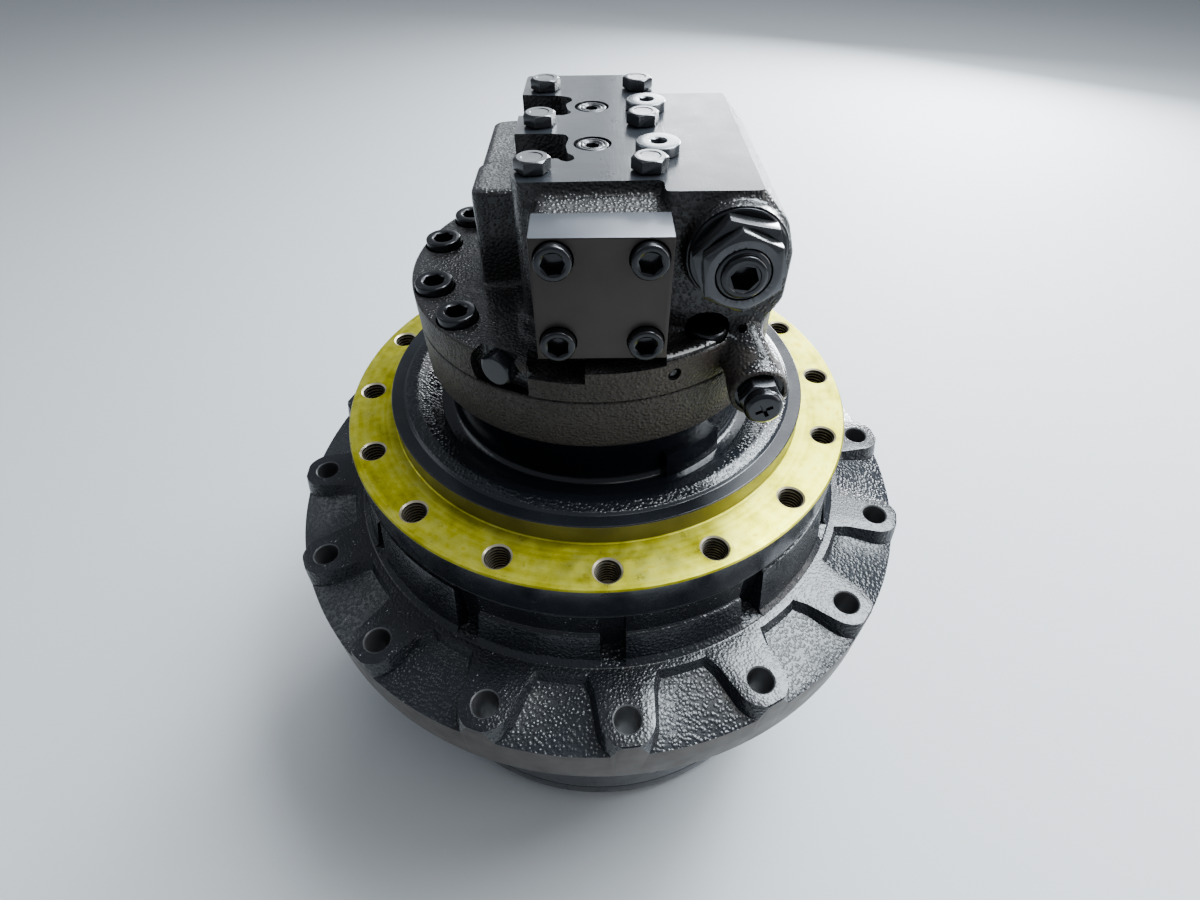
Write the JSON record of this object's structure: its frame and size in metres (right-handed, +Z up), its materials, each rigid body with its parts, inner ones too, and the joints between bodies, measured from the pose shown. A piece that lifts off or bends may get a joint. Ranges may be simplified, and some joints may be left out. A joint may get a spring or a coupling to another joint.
{
  "type": "excavator final drive",
  "caption": "Hydraulic travel motor and planetary gearbox in a turning sprocket hub, with a bolted frame flange, a valve cover with oil ports, and an end cover.",
  "frame": {"origin": "On the axis of the drive, at the lowest point of its end cover, on which it stands.", "axes": "+Z runs up the axis, out of the frame mounting face, and the valve cover's front plate faces -Y."},
  "size_m": [0.568, 0.568, 0.6121],
  "materials": {
    "black_casting_paint": "semi-gloss paint on a rough casting",
    "painted_machined_steel": "satin",
    "yellow_passivated_iron": "machined and yellow passivated",
    "black_oxide_steel": "black oxide",
    "ground_gear_steel": "ground",
    "bearing_bronze": "machined",
    "friction_lining": "matt"
  },
  "bodies": {
    "spindle": {"spindle": "yellow_passivated_iron", "motor_cover": "black_casting_paint", "cover_screw_1": "black_oxide_steel", "cover_screw_2": "black_oxide_steel", "cover_screw_3": "black_oxide_steel", "cover_screw_4": "black_oxide_steel", "cover_screw_5": "black_oxide_steel", "cover_screw_6": "black_oxide_steel", "cover_screw_7": "black_oxide_steel", "cover_screw_8": "black_oxide_steel", "front_plate": "painted_machined_steel", "front_plate_screw_1": "black_oxide_steel", "front_plate_screw_2": "black_oxide_steel", "front_plate_screw_3": "black_oxide_steel", "front_plate_screw_4": "black_oxide_steel", "port_bolt_1": "black_oxide_steel", "port_bolt_2": "black_oxide_steel", "port_bolt_3": "black_oxide_steel", "port_bolt_4": "black_oxide_steel", "port_bolt_5": "black_oxide_steel", "port_bolt_6": "black_oxide_steel", "port_cap_front": "painted_machined_steel", "port_cap_rear": "painted_machined_steel", "gauge_plug_front": "painted_machined_steel", "gauge_plug_rear": "painted_machined_steel", "spool_plug": "black_oxide_steel", "spool_lock_nut": "black_oxide_steel", "relief_valve": "black_oxide_steel", "drain_plug": "black_oxide_steel", "second_carrier": "painted_machined_steel", "spindle_seal_ring": "ground_gear_steel", "upper_bearing_inner_ring": "ground_gear_steel", "lower_bearing_inner_ring": "ground_gear_steel", "bearing_nut": "ground_gear_steel", "swash_plate": "ground_gear_steel", "valve_plate": "bearing_bronze", "brake_piston": "ground_gear_steel", "brake_separator_plate": "ground_gear_steel", "shaft_bearing": "ground_gear_steel", "motor_bearing": "ground_gear_steel"},
    "hub": {"hub": "black_casting_paint", "ring_gear": "black_casting_paint", "end_cover": "black_casting_paint", "hub_seal_ring": "ground_gear_steel", "upper_bearing_outer_ring": "ground_gear_steel", "lower_bearing_outer_ring": "ground_gear_steel"},
    "ball_rows": {"upper_bearing_ball_row": "ground_gear_steel", "lower_bearing_ball_row": "ground_gear_steel"},
    "first_carrier": {"first_carrier": "painted_machined_steel", "second_sun": "ground_gear_steel"},
    "second_planet_1": {"second_planet_1": "ground_gear_steel"},
    "second_planet_2": {"second_planet_2": "ground_gear_steel"},
    "second_planet_3": {"second_planet_3": "ground_gear_steel"},
    "first_planet_1": {"first_planet_1": "ground_gear_steel"},
    "first_planet_2": {"first_planet_2": "ground_gear_steel"},
    "first_planet_3": {"first_planet_3": "ground_gear_steel"},
    "input_shaft": {"input_shaft": "ground_gear_steel", "cylinder_block": "ground_gear_steel", "piston_set": "bearing_bronze", "brake_friction_disc": "friction_lining"}
  },
  "joints": [
    {"name": "hub_spin", "type": "hinge", "parent": "spindle", "child": "hub", "pos_m": [0, 0, 0], "axis": [0, 0, 1], "continuous": true},
    {"name": "ball_rows_spin", "type": "hinge", "parent": "spindle", "child": "ball_rows", "pos_m": [0, 0, 0], "axis": [0, 0, 1], "continuous": true},
    {"name": "first_carrier_spin", "type": "hinge", "parent": "spindle", "child": "first_carrier", "pos_m": [0, 0, 0], "axis": [0, 0, 1], "continuous": true},
    {"name": "second_planet_1_spin", "type": "hinge", "parent": "spindle", "child": "second_planet_1", "pos_m": [0.132, 0, 0], "axis": [0, 0, 1], "continuous": true},
    {"name": "second_planet_2_spin", "type": "hinge", "parent": "spindle", "child": "second_planet_2", "pos_m": [-0.066, 0.11432, 0], "axis": [0, 0, 1], "continuous": true},
    {"name": "second_planet_3_spin", "type": "hinge", "parent": "spindle", "child": "second_planet_3", "pos_m": [-0.066, -0.11432, 0], "axis": [0, 0, 1], "continuous": true},
    {"name": "first_planet_1_spin", "type": "hinge", "parent": "first_carrier", "child": "first_planet_1", "pos_m": [0.12, 0, 0], "axis": [0, 0, 1], "continuous": true},
    {"name": "first_planet_2_spin", "type": "hinge", "parent": "first_carrier", "child": "first_planet_2", "pos_m": [-0.06, 0.10392, 0], "axis": [0, 0, 1], "continuous": true},
    {"name": "first_planet_3_spin", "type": "hinge", "parent": "first_carrier", "child": "first_planet_3", "pos_m": [-0.06, -0.10392, 0], "axis": [0, 0, 1], "continuous": true},
    {"name": "input_shaft_spin", "type": "hinge", "parent": "spindle", "child": "input_shaft", "pos_m": [0, 0, 0], "axis": [0, 0, 1], "continuous": true}
  ],
  "couplings": [
    {"joint": "ball_rows_spin", "follows": "hub_spin", "ratio": 0.52333},
    {"joint": "first_carrier_spin", "follows": "hub_spin", "ratio": -2.6667},
    {"joint": "second_planet_1_spin", "follows": "hub_spin", "ratio": 3.2},
    {"joint": "second_planet_2_spin", "follows": "hub_spin", "ratio": 3.2},
    {"joint": "second_planet_3_spin", "follows": "hub_spin", "ratio": 3.2},
    {"joint": "first_planet_1_spin", "follows": "hub_spin", "ratio": 9.7778},
    {"joint": "first_planet_2_spin", "follows": "hub_spin", "ratio": 9.7778},
    {"joint": "first_planet_3_spin", "follows": "hub_spin", "ratio": 9.7778},
    {"joint": "input_shaft_spin", "follows": "hub_spin", "ratio": -17.333}
  ]
}
